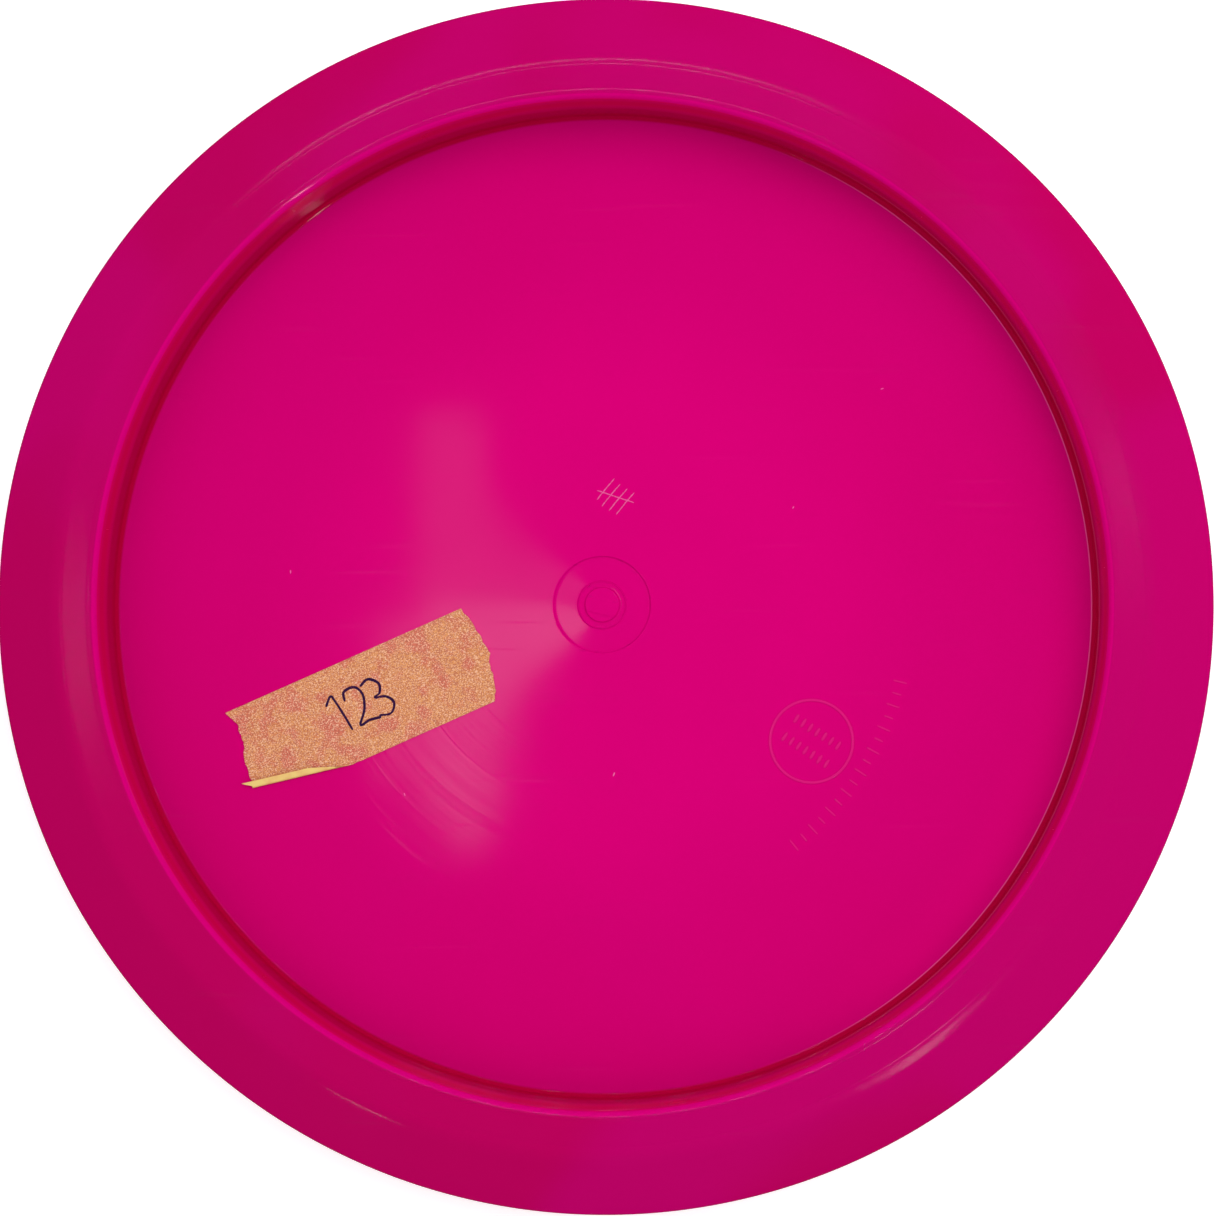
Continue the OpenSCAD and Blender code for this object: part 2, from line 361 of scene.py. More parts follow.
def shell_profile(disc):
    """The section from the axis out along the outer face, round the rim and back along the inner face.

    Every arc is tangent to its neighbours: the shoulder touches the dome at the foot and the nose from
    inside, the bevel is the outer tangent of the nose and the crest circles, and the lip and foot arcs touch
    the wall.
    """
    foot_r = foot_radius(disc)
    run = foot_r - disc.flat_r
    dome_arc = (run**2 + disc.dome_rise**2) / (2 * disc.dome_rise)
    slope = math.asin(run / dome_arc)
    nose = np.array([disc.disc_d / 2 - disc.nose_round, disc.nose_z])
    start = np.array([foot_r, disc.dome_rise])
    out = np.array([-math.sin(slope), math.cos(slope)])
    gap = start - nose
    shoulder_r = (disc.nose_round**2 - gap @ gap) / (2 * (gap @ out + disc.nose_round))
    shoulder = start + shoulder_r * out
    shoulder_end = math.atan2(*(nose - shoulder)[::-1])
    crest = np.array([disc.crest_r, disc.disc_h - disc.crest_round])
    span = nose - crest
    bevel_turn = (
        math.atan2(span[1], span[0])
        + math.asin((disc.nose_round - disc.crest_round) / math.hypot(*span))
        + math.pi / 2
    )
    foot = np.array([foot_r, disc.disc_h - disc.hollow_depth])
    lean = disc.wall_draft
    up = np.array([math.sin(lean), math.cos(lean)])
    across = np.array([math.cos(lean), -math.sin(lean)])
    bowl = math.asin(2 * foot_r * disc.dome_rise / (foot_r**2 + disc.dome_rise**2))
    foot_turn = bowl + lean
    foot_c = (
        foot
        - disc.foot_round * across
        + disc.foot_round * (1 - math.sin(foot_turn)) / math.cos(foot_turn) * up
    )
    lip_run = (disc.hollow_depth - disc.lip_round * (1 - math.sin(lean))) / math.cos(lean)
    lip_c = foot + lip_run * up + disc.lip_round * across
    quarter = math.pi / 2
    nose_arc = arc(nose, disc.nose_round, shoulder_end, bevel_turn, 20)
    crest_arc = arc(crest, disc.crest_round, bevel_turn, quarter, 9)
    lip_arc = arc(lip_c, disc.lip_round, quarter, math.pi - lean, 16)
    foot_arc = arc(foot_c, disc.foot_round, -lean, bowl - quarter, 9)
    near_foot = foot_arc[-1, 0] - np.array([0.12, 0.3, 0.6]) * MM
    near_gate = disc.gate_r + np.array([0.9, 0.5, 0.25]) * MM
    inner_r = np.concatenate([near_foot, np.linspace(near_foot[-1], near_gate[0], 70)[1:-1], near_gate])
    base = FOIL_PROUD
    parts = [
        ("axis", [[0, base]]),
        ("face", straight([0, base], [disc.flat_r, base], 6)),
        ("face", dome_line(disc, disc.flat_r, foot_r, 0, 18)),
        ("rim", arc(shoulder, shoulder_r, slope - quarter, shoulder_end, 14)),
        ("rim", nose_arc[1:]),
        ("rim", straight(nose_arc[-1], crest_arc[0], 7)),
        ("rim", crest_arc),
        ("rim", witness_line(crest_arc[-1] - [0.35 * MM, 0], disc.disc_h)),
        ("rim", straight(crest_arc[-1] - [0.75 * MM, 0], lip_arc[0] + [0.9 * MM, 0], 5)),
        ("rim", witness_line(lip_arc[0] + [0.45 * MM, 0], disc.disc_h)),
        ("rim", lip_arc[:4]),
        ("band", lip_arc[4:12]),
        ("lip", lip_arc[12:]),
        ("upper_wall", straight(lip_arc[-1], foot_arc[0] * 0.45 + lip_arc[-1] * 0.55, 5)),
        ("wall", straight(foot_arc[0] * 0.45 + lip_arc[-1] * 0.55, foot_arc[0], 7)),
        ("wall", foot_arc[:-1]),
        ("foot", foot_arc[-1:]),
        ("plate", np.stack([inner_r, disc.plate_t + inner_rise(disc, inner_r)], axis=1)),
        ("gate", gate_profile(disc)),
    ]
    points = np.concatenate([np.asarray(p, float).reshape(-1, 2) for _, p in parts])
    names = np.concatenate([[n] * len(p) for n, p in parts])
    points[:, 1] = np.maximum(points[:, 1], base)
    gate = names == "gate"
    points[gate, 1] += inner_rise(disc, points[gate, 0])
    return points, names


def witness_line(middle, top):
    """A fine groove left by a seam between mould parts: a bell curve that dips below the flat top."""
    across = np.linspace(2.5, -2.5, 11)
    return np.stack([middle[0] + SEAM_W * across, top - SEAM_DEPTH * np.exp(-(across**2))], axis=1)


def gate_profile(disc):
    """The sunk round mark with its fine ring, and the low stub where the plastic was let in."""
    top, deep, edge = disc.plate_t, disc.plate_t - disc.gate_depth, 0.13 * MM
    corners = np.array(
        [
            [disc.gate_r + edge, top],
            [disc.gate_r, top - 0.1 * disc.gate_depth],
            *([r, deep] for r in np.linspace(disc.gate_r - edge, disc.gate_ring_r + 3 * edge, 10)),
            [disc.gate_ring_r + 2 * edge, deep],
            [disc.gate_ring_r + edge, deep + 0.02 * MM],
            [disc.gate_ring_r, top - 0.05 * MM],
            [disc.gate_ring_r - edge, deep + 0.04 * MM],
            [disc.gate_stub_r + 2 * edge, deep],
            [disc.gate_stub_r + edge, deep + 0.03 * MM],
            [disc.gate_stub_r, top + 0.06 * MM],
            [disc.gate_stub_r - edge, top + 0.1 * MM],
            *([r, top + 0.1 * MM] for r in np.linspace(disc.gate_stub_r - 2 * edge, 0, 6)),
        ]
    )
    share = np.linspace(0, len(corners) - 1, 4 * len(corners) - 3)
    at = np.arange(len(corners))
    points = np.stack([np.interp(share, at, corners[:, 0]), np.interp(share, at, corners[:, 1])], axis=1)
    points[2:-2, 1] = sum(points[i : len(points) - 4 + i, 1] for i in range(5)) / 5
    return points


def smooth_step(value, low, high):
    """0 below low, 1 above high and an S curve between."""
    t = np.clip((np.asarray(value) - low) / (high - low), 0, 1)
    return t * t * (3 - 2 * t)


def waves(rng, x, y, size, count=24):
    """A smooth uneven field from -1 to 1: a sum of sine waves of random direction, about a size long."""
    turn = rng.uniform(0, math.tau, count)
    pitch = math.tau / (size * rng.uniform(0.6, 1.8, count))
    shift = rng.uniform(0, math.tau, count)
    along = np.multiply.outer(x, np.cos(turn)) + np.multiply.outer(y, np.sin(turn))
    return np.sin(along * pitch + shift).sum(-1) / math.sqrt(count)


def tube(path, half_width, half_height, sides=8, closed=False, taper=0.35, squareness=1.0):
    """Carries a flattened round section along a path, with its middle on the path and its width level.

    A section point is (width * c, height * s) of the cosine and sine raised to squareness. At each end of an
    open path the section shrinks as a quarter circle over the taper's share of the width, and closes in a
    point.
    """
    path = np.asarray(path, float)
    ahead = np.roll(path, -1, axis=0) if closed else np.gradient(path, axis=0)
    tangent = ahead - np.roll(path, 1, axis=0) if closed else ahead
    side = np.stack([-tangent[:, 1], tangent[:, 0], np.zeros(len(path))], axis=1)
    side /= np.linalg.norm(side, axis=1)[:, None]
    turn = np.arange(sides) * math.tau / sides
    section = np.stack([np.cos(turn), np.sin(turn)])
    wide, high = np.sign(section) * np.abs(section) ** squareness
    grow = np.ones(len(path))
    if not closed:
        step = np.linalg.norm(np.diff(path, axis=0), axis=1)
        walked = np.concatenate([[0], np.cumsum(step)])
        near = np.minimum(walked, walked[-1] - walked) + 1e-6
        reach = np.clip(near / (2 * taper * np.max(half_width) + 1e-9), 0, 1)
        grow = np.sqrt(1 - (1 - reach) ** 2)
    half_width = np.broadcast_to(half_width, len(path)) * grow
    rings = (
        path[:, None, :]
        + side[:, None, :] * (half_width[:, None] * wide)[..., None]
        + np.array([0, 0, 1.0]) * (half_height * grow[:, None] * high)[..., None]
    ).reshape(-1, 3)
    rows = len(path)
    faces = grid_faces(rows, sides, wrap_rows=closed, wrap_columns=True)[:, ::-1]
    if closed:
        return rings, faces, np.zeros((0, 3), int)
    ends = np.array([rows * sides, rows * sides + 1])
    caps = np.concatenate(
        [
            fan_faces(ends[0], np.arange(sides), False),
            fan_faces(ends[1], (rows - 1) * sides + np.arange(sides), True),
        ]
    )
    return np.concatenate([rings, path[[0, -1]]]), faces, caps


def join(parts):
    """Puts several (points, quads, triangles) together as one."""
    starts = np.cumsum([0] + [len(p) for p, _, _ in parts[:-1]])
    points = np.concatenate([p for p, _, _ in parts])
    quads = np.concatenate([q + s for (_, q, _), s in zip(parts, starts)])
    triangles = np.concatenate([t + s for (_, _, t), s in zip(parts, starts)])
    return points, [quads, triangles]


def flowing(points, steps=10):
    """A smooth line through a few points: Catmull-Rom cubics between each pair, steps to a stretch."""
    p = np.asarray(points, float)
    p = np.concatenate([[2 * p[0] - p[1]], p, [2 * p[-1] - p[-2]]])
    t = np.linspace(0, 1, steps, endpoint=False)[None, :, None]
    a, b, c, d = (p[i : len(p) - 3 + i, None, :] for i in range(4))
    curve = 0.5 * (
        2 * b + (c - a) * t + (2 * a - 5 * b + 4 * c - d) * t**2 + (3 * b - a - 3 * c + d) * t**3
    )
    return np.concatenate([curve.reshape(-1, p.shape[1]), p[-2:-1]])


def placed(points, x, y, turn):
    """Flat points turned about the origin and moved to a place."""
    c, s = math.cos(turn), math.sin(turn)
    return np.asarray(points, float) @ np.array([[c, s], [-s, c]]) + [x, y]


def on_plate(disc, points, lift=0.0):
    """Flat points set on the plate's inner face, lifted a little."""
    return np.column_stack([points, plate_top(disc, points[:, 0], points[:, 1]) + lift])


# Finishes -----------------------------------------------------------------------------------------


class Wire:
    """A node's output that Python arithmetic turns into Math nodes."""

    def __init__(self, recipe, socket):
        self.recipe, self.socket = recipe, socket

    def math(self, operation, *values):
        return self.recipe.add("ShaderNodeMath", {"operation": operation}, dict(enumerate(values)))

    def __add__(self, other):
        return self.math("ADD", self, other)

    def __rsub__(self, other):
        return self.math("SUBTRACT", other, self)

    def __mul__(self, other):
        return self.math("MULTIPLY", self, other)

    __radd__ = __add__

    def ramp(self, low, high):
        """0 below low, 1 above high, smooth between."""
        given = {"interpolation_type": "SMOOTHSTEP"}
        values = {"Value": self, "From Min": low, "From Max": high}
        return self.recipe.add("ShaderNodeMapRange", given, values)


class Recipe:
    """One material's nodes."""

    def __init__(self, name):
        self.material = bpy.data.materials.new(name)
        self.material.use_nodes = True
        self.tree = self.material.node_tree
        self.tree.nodes.clear()
        self.place = self.add("ShaderNodeTexCoord", output="Object")

    def add(self, kind, settings=None, inputs=None, output=0):
        """Adds a node: its settings first, then values or wires for its sockets."""
        node = self.tree.nodes.new(kind)
        for name, value in (settings or {}).items():
            setattr(node, name, value)
        for name, value in (inputs or {}).items():
            if isinstance(value, Wire):
                self.tree.links.new(value.socket, node.inputs[name])
            else:
                node.inputs[name].default_value = value
        return Wire(self, node.outputs[output]) if node.outputs else None

    def mix(self, share, first, second):
        """Blends two colours, of which the first may be a wire."""
        first = first if isinstance(first, Wire) else (*first, 1)
        values = {0: share, 6: first, 7: (*second, 1)}
        return self.add("ShaderNodeMix", {"data_type": "RGBA"}, values, output=2)

    def stretched(self, scale, turn=0.0):
        """The place on the object with each axis scaled and turned about +Z."""
        return self.add(
            "ShaderNodeMapping", {}, {"Vector": self.place, "Scale": scale, "Rotation": (0, 0, turn)}
        )

    def tone(self, name):
        """A named number that the piece carries on its points."""
        return self.add("ShaderNodeAttribute", {"attribute_name": name}, output="Fac")

    def flat_place(self):
        """The place on the object with its height left out."""
        return self.add("ShaderNodeVectorMath", {"operation": "MULTIPLY"}, {0: self.place, 1: (1, 1, 0)})

    def noise(self, scale, detail=3.0, at=None):
        """Fractal noise from 0 to 1, with a number of cells to a metre."""
        values = {"Vector": at or self.place, "Scale": scale, "Detail": detail}
        return self.add("ShaderNodeTexNoise", {}, values, output="Fac")

    def bump(self, height, strength, distance, normal=None):
        """A normal from a height field."""
        values = {"Height": height, "Strength": strength, "Distance": distance}
        if normal is not None:
            values["Normal"] = normal
        return self.add("ShaderNodeBump", {}, values, output="Normal")

    def finish(self, **values):
        """The shader and the output. A value's name is its socket's, with underscores for spaces."""
        inputs = {name.replace("_", " "): value for name, value in values.items()}
        shader = self.add("ShaderNodeBsdfPrincipled", {}, inputs)
        self.add("ShaderNodeOutputMaterial", {}, {"Surface": shader})
        return self.material


def plastic(name, pale=0.0):
    """Glossy moulded plastic: deeper where it is thick, with mould tool marks, faint clouds and fine scuffs.

    Each tone is a share from 0 to 1 that the piece carries, and lays its own tint over those before it.
    Some tones are painted light and shade: a darker plate away from its middle, a darker lower wall, a lit
    upper wall, a glowing lip edge, a lit lip band, a lit plate edge and a highlight line at the foot.
    """
    finish = settings().finish
    recipe = Recipe(name)
    flat = recipe.flat_place()
    radius = recipe.add("ShaderNodeVectorMath", {"operation": "LENGTH"}, {0: flat}, output="Value")
    cloud = recipe.noise(60, 3)
    # The depth tone gives the rim its thicker plastic's colour, and on the plate it is painted shade.
    depth = recipe.tone("depth")
    body = recipe.mix(depth, tuple(finish.thin_plastic), tuple(finish.thick_plastic))
    haze = recipe.noise(16, 2).ramp(0.42, 0.58)
    body = recipe.mix(depth * (1 - haze) * 0.35, body, RED_HAZE)
    body = recipe.mix(depth * haze * 0.35, body, VIOLET_HAZE)
    # Painted light and shade: a lit plate edge, a darker lower wall (partly thicker plastic), a lit upper
    # wall, a glowing lip edge, a lit lip band and a highlight line at the foot.
    for tone, tint in (
        ("flush", finish.flush_plastic),
        ("wall", finish.lower_wall_deep_and_shaded),
        ("lit_upper_wall", finish.upper_wall_light_colour),
        ("edge", finish.lip_edge_glow_colour),
        ("glow", finish.lip_band_highlight_colour),
        ("foot_highlight", finish.foot_highlight_colour),
    ):
        body = recipe.mix(recipe.tone(tone), body, tuple(tint))
    shade = cloud.ramp(0.25, 0.75) * 0.06
    body = recipe.mix(shade, body, CLOUD_SHADE)
    if pale:
        body = recipe.mix(pale, body, SCRAPED)
    worn = depth.ramp(0.75, 0.95)
    grain = recipe.noise(2400, 2)
    scuff = recipe.noise(1.0, 2, at=recipe.stretched((40, 900, 40), 0.6))
    marks_at = recipe.add("ShaderNodeCombineXYZ", {}, {"X": radius, "Y": 0.0, "Z": 0.0})
    spot = {"operation": "DISTANCE"}
    near = recipe.add("ShaderNodeVectorMath", spot, {0: flat, 1: TOOL_MARKS}, output="Value")
    marks = recipe.noise(1500, 2, at=marks_at).ramp(0.5, 0.56) * near.ramp(18 * MM, 8 * MM)
    rough = 0.034 + cloud * 0.02 + scuff.ramp(0.62, 0.75) * 0.05
    rough = rough + worn * 0.04 + recipe.tone("lit_upper_wall") * 0.2
    normal = recipe.bump(marks, 1.0, 0.0000025)
    normal = recipe.bump(grain * worn, 0.8, 0.00002, normal)
    return recipe.finish(Base_Color=body, Roughness=rough, Normal=normal, IOR=1.5, Specular_IOR_Level=0.25)


def crepe_paper():
    """Creped masking paper: yellow tan with a fine dark and pale speckle, reddish patches and ridges."""
    finish, tape = settings().finish, settings().tape
    recipe = Recipe("crepe_paper")
    along = recipe.stretched((1, 1, 1), -tape.tape_turn)
    crepe_at = recipe.add("ShaderNodeMapping", {}, {"Vector": along, "Scale": (2600, 1300, 1500)})
    crepe = recipe.noise(1.0, 3, at=crepe_at)
    grain = recipe.noise(4600, 3)
    fleck_at = recipe.add("ShaderNodeMapping", {}, {"Vector": along, "Scale": (3800, 5200, 4000)})
    fleck = recipe.noise(1.0, 2, at=fleck_at)
    patch = recipe.noise(260, 5)
    body = recipe.mix(patch.ramp(0.45, 0.62) * 0.8, tuple(finish.paper), tuple(finish.paper_patch))
    body = recipe.mix(grain.ramp(0.42, 0.58) * 0.75, body, tuple(finish.paper_stain))
    body = recipe.mix(fleck.ramp(0.52, 0.62) * 0.7, body, tuple(finish.paper_fleck))
    normal = recipe.bump(crepe, 0.6, 0.0001)
    normal = recipe.bump(grain, 0.4, 0.00005, normal)
    return recipe.finish(Base_Color=body, Roughness=0.72, Normal=normal, IOR=1.45)


def tape_adhesive():
    """Sticky rubbery glue: yellow, unevenly coated and slightly shiny."""
    finish = settings().finish
    recipe = Recipe("tape_adhesive")
    patch = recipe.noise(500, 4)
    body = recipe.mix(patch.ramp(0.4, 0.7) * 0.5, tuple(finish.glue), (0.75, 0.30, 0.12))
    normal = recipe.bump(patch, 0.5, 0.00006)
    return recipe.finish(Base_Color=body, Roughness=0.38 + patch * 0.2, Normal=normal, IOR=1.5)


def pen_ink():
    """Ball pen ink: dark violet, thinner in places so that the paper tints it."""
    finish = settings().finish
    recipe = Recipe("pen_ink")
    skip = recipe.noise(2500, 3)
    body = recipe.mix(skip.ramp(0.5, 0.75) * 0.45, tuple(finish.ink), (0.16, 0.02, 0.07))
    normal = recipe.bump(skip, 0.3, 0.00003)
    return recipe.finish(Base_Color=body, Roughness=0.6, Normal=normal, IOR=1.45, Specular_IOR_Level=0.2)


def hot_foil(name, tint, metallic, worn):
    """Hot stamped foil: a thin film with pinholes and slight ripples."""
    recipe = Recipe(name)
    speck = recipe.noise(3000, 3)
    ripple = recipe.noise(350, 2)
    body = recipe.mix(speck.ramp(0.62, 0.7) * 0.5, tuple(tint), worn)
    normal = recipe.bump(ripple, 0.25, 0.0001)
    return recipe.finish(
        Base_Color=body, Metallic=metallic, Roughness=0.18 + speck * 0.2, Normal=normal, IOR=1.5
    )


def floor_paint():
    """Plain matt white board."""
    recipe = Recipe("floor_board")
    tone = recipe.noise(3, 2)
    body = recipe.mix(tone * 0.04, tuple(settings().finish.floor), (0.88, 0.88, 0.88))
    glow = {"Emission_Color": (1, 1, 1, 1), "Emission_Strength": 0.4}
    return recipe.finish(Base_Color=body, Roughness=0.9, Specular_IOR_Level=0.1, **glow)


# Pieces -------------------------------------------------------------------------------------------


def shell_tones(names, radius):
    """How much each profile point shows of each tone, from 0 to 1.

    The rim, the wall, its upper half, the lip's edge and the band on the lip each have one, softened along
    the profile by the weights 1, 2, 1. The rim's tone is its thicker plastic. The wall's is partly that and
    partly painted shade, and the upper wall, the lip's edge and the lip band carry painted light. A painted
    highlight lies as a line at the foot, painted light lies along the plate's edge, and painted shade
    darkens the plate away from its middle through the rim's depth tone.
    """
    soften = np.array([1, 2, 1]) / 4
    regions = {"depth": "rim", "wall": "wall", "lit_upper_wall": "upper_wall", "edge": "lip", "glow": "band"}
    tones = {}
    for tone, region in regions.items():
        share = np.pad((names == region).astype(float), 1, mode="edge")
        tones[tone] = np.convolve(share, soften, "valid")
    inside = np.isin(names, ("plate", "foot"))
    # Painted highlight: a line of paler colour at the wall's foot.
    tones["foot_highlight"] = (names == "foot").astype(float)
    # Painted light: the plate's edge is lightened where the wall's shadow falls.
    tones["flush"] = 0.6 * inside * smooth_step(radius, 74 * MM, 85 * MM)
    # Painted shade: the plate takes on some of the rim's deeper colour away from its middle, where the dome
    # rises off the floor.
    tones["depth"] += 0.18 * inside * smooth_step(radius, 35 * MM, 65 * MM)
    return tones


def add_attribute(made, name, values):
    """A named number on each point of a piece."""
    made.data.attributes.new(name, "FLOAT", "POINT").data.foreach_set("value", values.astype(np.float32))


class GOLFDISC_OT_shell(bpy.types.Operator):
    """The moulded body: plate, dome, rim, lip and gate mark, as one surface of revolution with a cut stub"""

    bl_idname = "golf_disc.shell"
    bl_label = "Moulded shell"

    def execute(self, context):
        disc = settings().disc
        profile, names = shell_profile(disc)
        points, faces = revolve(profile, disc.segments)
        x, y = points[:, 0], points[:, 1]
        across = x * STUB_WAY[0] + y * STUB_WAY[1]
        cut = smooth_step(-across, 1.6 * MM, 1.9 * MM) + 0.3 * smooth_step(across, 0.9 * MM, 1.1 * MM)
        on_stub = smooth_step(disc.gate_stub_r - np.hypot(x, y), 0, 0.2 * MM)
        top = points[:, 2] > disc.plate_t / 2
        points[:, 2] -= STUB_CUT * cut * on_stub * top
        made = piece("disc_shell", points, faces, plastic("disc_plastic"), "disc_plastic", 80)
        # Only the right half gets the painted foot highlight and the painted edge light.
        painted_light_side = smooth_step(x / np.maximum(np.hypot(x, y), MM), 0.3, 0.7)
        for tone, share in shell_tones(names, profile[:, 0]).items():
            share = np.concatenate([np.repeat(share[1:-1], disc.segments), share[[0, -1]]])
            add_attribute(made, tone, share * (painted_light_side if tone in ("foot_highlight", "flush") else 1))
        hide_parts("disc_body")
        return {"FINISHED"}


def emblem_strokes(disc, marks):
    """A plain ring and two rows of short bars, each a low ridge on the plate."""
    turn = np.linspace(0, math.tau, 96, endpoint=False)
    ring = marks.emblem_r * np.stack([np.cos(turn), np.sin(turn)], axis=1)
    lines = [(ring, 0.25 * MM, True)]
    for row in (-1, 1):
        for column in range(-3, 4):
            x = column * 1.45 * MM
            y = row * 1.9 * MM
            bar = np.linspace([x, y - 0.9 * MM], [x, y + 0.9 * MM], 12)
            lines.append((bar, 0.28 * MM, False))
    at = (marks.emblem_x, marks.emblem_y, marks.emblem_turn)
    return [
        tube(
            on_plate(disc, placed(line, *at)), half, marks.mark_h, closed=closed, squareness=0.6, taper=1
        )
        for line, half, closed in lines
    ]


def tick_strokes(disc, marks):
    """Short radial ridges along an arc, long and short in turn."""
    made = []
    for i in range(marks.tick_count):
        turn = marks.tick_mid + (i - (marks.tick_count - 1) / 2) * marks.tick_step
        half = (1.3 if i % 2 == 0 else 0.9) * MM
        way = np.array([math.cos(turn), math.sin(turn)])
        line = np.linspace(marks.tick_r - half, marks.tick_r + half, 12)[:, None] * way
        made.append(tube(on_plate(disc, line), 0.16 * MM, marks.mark_h / 2, squareness=0.6, taper=1))
    return made


class GOLFDISC_OT_moulded_marks(bpy.types.Operator):
    """The emblem and the row of ticks that stand up from the plate: rounded ridges along lines"""

    bl_idname = "golf_disc.moulded_marks"
    bl_label = "Moulded marks"

    def execute(self, context):
        disc, marks = settings().disc, settings().marks
        finish = plastic("raised_plastic", pale=0.03)
        for name, strokes in (
            ("emblem_relief", emblem_strokes(disc, marks)),
            ("tick_relief", tick_strokes(disc, marks)),
        ):
            piece(name, *join(strokes), finish, "disc_plastic")
        return {"FINISHED"}


class GOLFDISC_OT_tally_scratches(bpy.types.Operator):
    """The scratched tally: thin burrs that the point threw up, as fine ridges along unsteady lines"""

    bl_idname = "golf_disc.tally_scratches"
    bl_label = "Scratched tally"

    def execute(self, context):
        disc, marks = settings().disc, settings().marks
        rng = np.random.default_rng(21)
        strokes = []
        for i, x in enumerate((-2.2, -0.8, 0.7, 2.1)):
            top, bottom = 2.6 + 0.2 * math.sin(5 * i), -2.6 + 0.25 * math.cos(4 * i)
            line = flowing([[x + 0.15, top], [x, 0.4], [x - 0.1, bottom]], 14) * MM
            strokes.append(line)
        strokes.append(flowing([[-3.3, -1.0], [0.0, 0.1], [3.3, 1.2]], 18) * MM)
        made = []
        for line in strokes:
            line = line + rng.normal(0, 0.02 * MM, line.shape)
            flat = placed(line, marks.tally_x, marks.tally_y, marks.tally_turn - math.pi / 2)
            width = 0.1 * MM * rng.uniform(0.6, 1.3, len(flat))
            made.append(tube(on_plate(disc, flat), width, 0.05 * MM, sides=6, taper=3))
        piece("tally_scratches", *join(made), plastic("scratched_plastic", pale=0.35), "disc_plastic")
        return {"FINISHED"}


class GOLFDISC_OT_wear_nicks(bpy.types.Operator):
    """Small nicks that play has left on the plate: short burrs, each a fine ridge"""

    bl_idname = "golf_disc.wear_nicks"
    bl_label = "Wear nicks"

    def execute(self, context):
        disc = settings().disc
        made = []
        for x, y, turn, half in NICKS:
            way = np.array([math.cos(turn), math.sin(turn)])
            line = np.linspace(-half, half, 8)[:, None] * way + [x, y]
            made.append(tube(on_plate(disc, line * MM), 0.11 * MM, 0.05 * MM, sides=6, taper=2))
        piece("wear_nicks", *join(made), plastic("nicked_plastic", pale=0.5), "disc_plastic")
        return {"FINISHED"}


def strip_edges(rng, across):
    """Where the torn ends of the strip lie at each share across its width, in the strip's own frame."""
    left = np.interp(across, LEFT_SHARES, LEFT_END)
    right = np.interp(across, RIGHT_SHARES, RIGHT_END)
    rough = rng.normal(0, 1, (2, len(across)))
    fine = np.apply_along_axis(lambda v: np.convolve(v, np.ones(3) / 3, "same"), 1, rough)
    return (left + 0.16 * fine[0]) * MM, (right + 0.16 * fine[1]) * MM


def strip_surface(disc, tape, height):
    """Points of the strip at a height through its thickness, on a grid of length by width.

    Flat, the strip runs between its torn ends and its straight sides. Past the fold line its lower edge
    turns over: a point at distance d past the line moves round a circle of the bend radius by the angle
    d / radius, up to the fold's turn, and then straight on.
    """
    rng = np.random.default_rng(5)
    share_u = np.linspace(0, 1, STRIP_GRID[0])[:, None]
    share_v = np.linspace(0, 1, STRIP_GRID[1])[None, :]
    left, right = strip_edges(rng, share_v[0])
    u = left * (1 - share_u) + right * share_u
    half = tape.tape_w / 2
    fold_a, fold_b = np.array(FOLD_LINE) * MM
    way = (fold_b - fold_a) / np.linalg.norm(fold_b - fold_a)
    out = np.array([-way[1], way[0]])
    out = out if out[1] < 0 else -out
    fold_v = fold_a[1] + (u - fold_a[0]) * way[1] / way[0]
    flap = FLAP_WIDTH * MM * smooth_step(fold_a[0] - u, 0, 6 * MM)
    bottom = np.where(u < fold_a[0], np.maximum(fold_v - flap, -half - 0.1 * MM), -half)
    v = bottom * (1 - share_v) + half * share_v
    past = (u - fold_a[0]) * out[0] + (v - fold_a[1]) * out[1]
    past = np.where(u < fold_a[0], past, np.minimum(past, 0))
    bend, most = tape.bend_r, tape.fold_turn
    round_by = np.clip(past / bend, 0, most)
    rest = np.clip(past - bend * most, 0, None)
    reach = bend - height
    moved = np.where(past > 0, np.sin(round_by) * reach + rest * math.cos(most), past)
    lift = np.where(past > 0, bend - np.cos(round_by) * reach + rest * math.sin(most), height)
    flat = np.stack([u + out[0] * (moved - past), v + out[1] * (moved - past)], axis=-1).reshape(-1, 2)
    at = placed(flat, tape.tape_x, tape.tape_y, tape.tape_turn)
    ripple = waves(np.random.default_rng(11), u, v, 5 * MM)
    crepe = waves(np.random.default_rng(12), u, v * 0.18, 0.7 * MM)
    puff = (0.012 * ripple + 0.008 * crepe) * MM * (height > 0)
    z = plate_top(disc, at[:, 0], at[:, 1]) + (lift + puff).ravel()
    return np.column_stack([at, z])


def slab(lower, upper, rows, columns):
    """Closes two grids of the same shape into a slab, with a wall round the border."""
    count = rows * columns
    top = grid_faces(rows, columns) + count
    under = grid_faces(rows, columns)[:, ::-1]
    index = np.arange(count).reshape(rows, columns)
    border = np.concatenate([index[0, :-1], index[:-1, -1], index[-1, :0:-1], index[:0:-1, 0]])
    after = np.roll(border, -1)
    wall = np.stack([border, border + count, after + count, after], axis=1)
    return np.concatenate([lower, upper]), [top, under, wall]


class GOLFDISC_OT_masking_tape(bpy.types.Operator):
    """The strip of masking tape: paper and glue as two slabs over one folded surface"""

    bl_idname = "golf_disc.masking_tape"
    bl_label = "Masking tape"

    def execute(self, context):
        disc, tape = settings().disc, settings().tape
        levels = [0.0, tape.glue_t, tape.glue_t + tape.paper_t]
        low, middle, high = (strip_surface(disc, tape, level) for level in levels)
        glue = piece("tape_glue", *slab(low, middle, *STRIP_GRID), tape_adhesive(), "tape_glue", 80)
        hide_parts("tape_adhesive")
        paper = piece("tape_paper", *slab(middle, high, *STRIP_GRID), crepe_paper(), "crepe_paper", 80)
        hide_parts("tape_backing")
        return {"FINISHED"}


